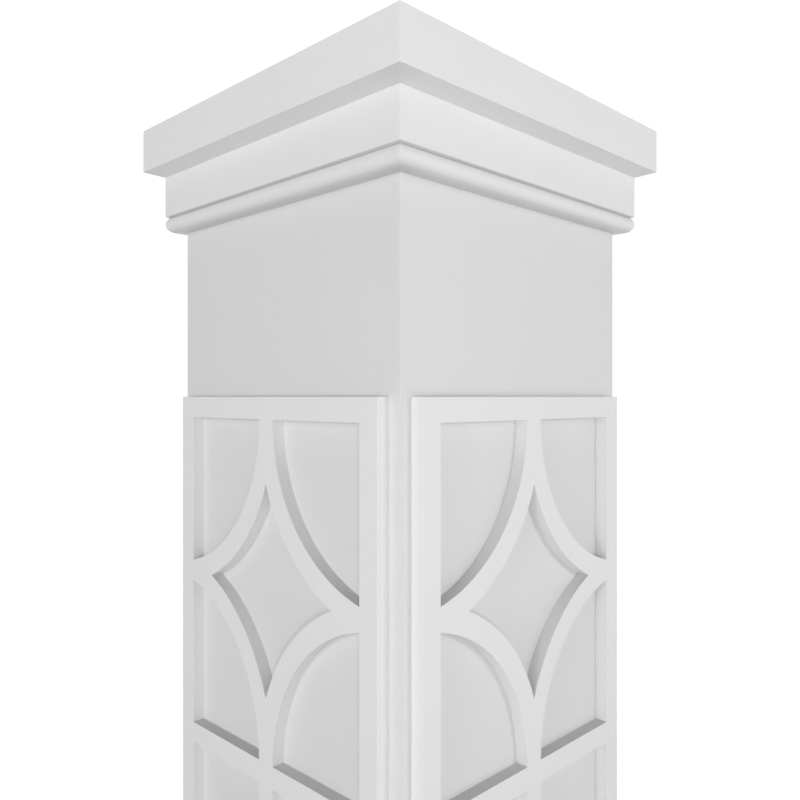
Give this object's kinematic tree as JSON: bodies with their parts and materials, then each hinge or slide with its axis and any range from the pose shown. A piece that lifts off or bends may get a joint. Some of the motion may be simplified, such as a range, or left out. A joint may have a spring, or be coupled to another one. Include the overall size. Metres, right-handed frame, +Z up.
{
  "type": "square column",
  "caption": "Square porch column of mitred boards with a stepped, beaded capital, a plain stepped base and a pierced panel of curved lattice and diamonds planted on every side.",
  "frame": {"origin": "middle of the column's underside, on the floor it stands on", "axes": "+Z up along the column; the sides face +X, -X, +Y and -Y, with the front facing -Y and the right side +X"},
  "size_m": [0.2952, 0.2952, 2.7432],
  "materials": {
    "shaft_paint": "white satin cellular PVC board",
    "fretwork_paint": "white satin cellular PVC board",
    "trim_paint": "white satin cellular PVC board",
    "bead_paint": "white satin cellular PVC moulding"
  },
  "bodies": {
    "root": {"shaft_board_front": "shaft_paint", "shaft_board_right": "shaft_paint", "shaft_board_back": "shaft_paint", "shaft_board_left": "shaft_paint", "fretwork_panel_front": "fretwork_paint", "fretwork_panel_right": "fretwork_paint", "fretwork_panel_back": "fretwork_paint", "fretwork_panel_left": "fretwork_paint", "frieze_board_front": "trim_paint", "frieze_board_right": "trim_paint", "frieze_board_back": "trim_paint", "frieze_board_left": "trim_paint", "cap_band_front": "trim_paint", "cap_band_right": "trim_paint", "cap_band_back": "trim_paint", "cap_band_left": "trim_paint", "bead_front": "bead_paint", "bead_right": "bead_paint", "bead_back": "bead_paint", "bead_left": "bead_paint", "base_board_front": "trim_paint", "base_board_right": "trim_paint", "base_board_back": "trim_paint", "base_board_left": "trim_paint", "plinth_band_front": "trim_paint", "plinth_band_right": "trim_paint", "plinth_band_back": "trim_paint", "plinth_band_left": "trim_paint"}
  },
  "joints": []
}
